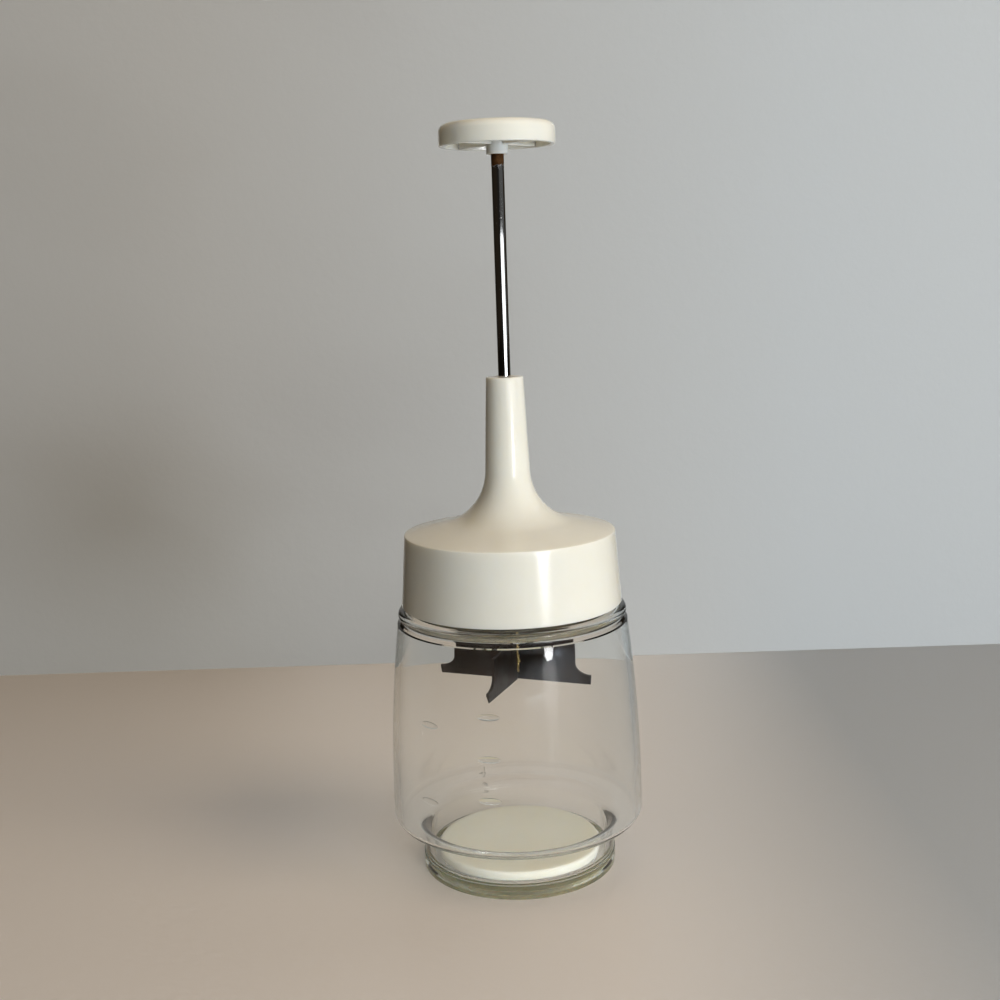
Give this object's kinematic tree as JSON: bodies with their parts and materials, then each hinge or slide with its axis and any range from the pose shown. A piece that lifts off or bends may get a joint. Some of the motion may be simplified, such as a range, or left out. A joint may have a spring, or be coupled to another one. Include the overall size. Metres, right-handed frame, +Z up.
{
  "type": "plunger food chopper",
  "caption": "Hand food chopper: a glass jar with a screw lid, a sprung plunger rod with a push knob and crossed steel blades over a chopping board.",
  "frame": {"origin": "centre of the jar's foot ring, on the table", "axes": "+Z up along the rod, towards the knob; the picture is taken from -Y, with +X to its right"},
  "size_m": [0.089, 0.089, 0.2597],
  "materials": {
    "clear_glass": "clear and smooth, faintly green where it is thick",
    "cream_plastic": "glossy moulded cream plastic",
    "board_plastic": "satin cream plastic",
    "inner_plastic": "matt off-white nylon",
    "seal_rubber": "soft, matt",
    "stop_rubber": "soft, matt black",
    "chromed_steel": "bright plating",
    "blade_steel": "brushed stainless",
    "small_steel": "plain stainless",
    "brass": "plain"
  },
  "bodies": {
    "jar_body": {"jar": "clear_glass", "chopping_board": "board_plastic"},
    "seal_body": {"lid_seal": "seal_rubber"},
    "lid_body": {"lid_shell": "cream_plastic", "guide_bush": "inner_plastic", "stop_bumper": "stop_rubber", "spring_plug": "inner_plastic", "return_spring": "small_steel"},
    "washer_body": {"spring_washer": "small_steel"},
    "plunger_body": {"retaining_clip": "small_steel", "plunger_rod": "chromed_steel", "knob": "cream_plastic", "knob_insert": "brass", "blade_collar": "small_steel", "blade_front": "blade_steel", "blade_rear": "blade_steel", "blade_pins": "small_steel", "braze_bead": "brass"}
  },
  "joints": [
    {"name": "lid_rise", "type": "slide", "parent": "jar_body", "child": "seal_body", "axis": [0, 0, 1], "range_m": [0, 0.0042]},
    {"name": "lid_turn", "type": "hinge", "parent": "seal_body", "child": "lid_body", "pos_m": [0, 0, 0.11], "axis": [0, 0, 1], "range_deg": [0, 360]},
    {"name": "plunge", "type": "slide", "parent": "lid_body", "child": "washer_body", "axis": [0, 0, -1], "range_m": [0, 0.0595], "stiffness_N_per_m": 300, "springref_m": -0.012, "deforming": ["return_spring"]},
    {"name": "plunger_turn", "type": "hinge", "parent": "washer_body", "child": "plunger_body", "pos_m": [0, 0, 0.16], "axis": [0, 0, 1], "continuous": true}
  ],
  "couplings": [
    {"joint": "lid_turn", "follows": "lid_rise", "rad_per_m": 1496}
  ]
}
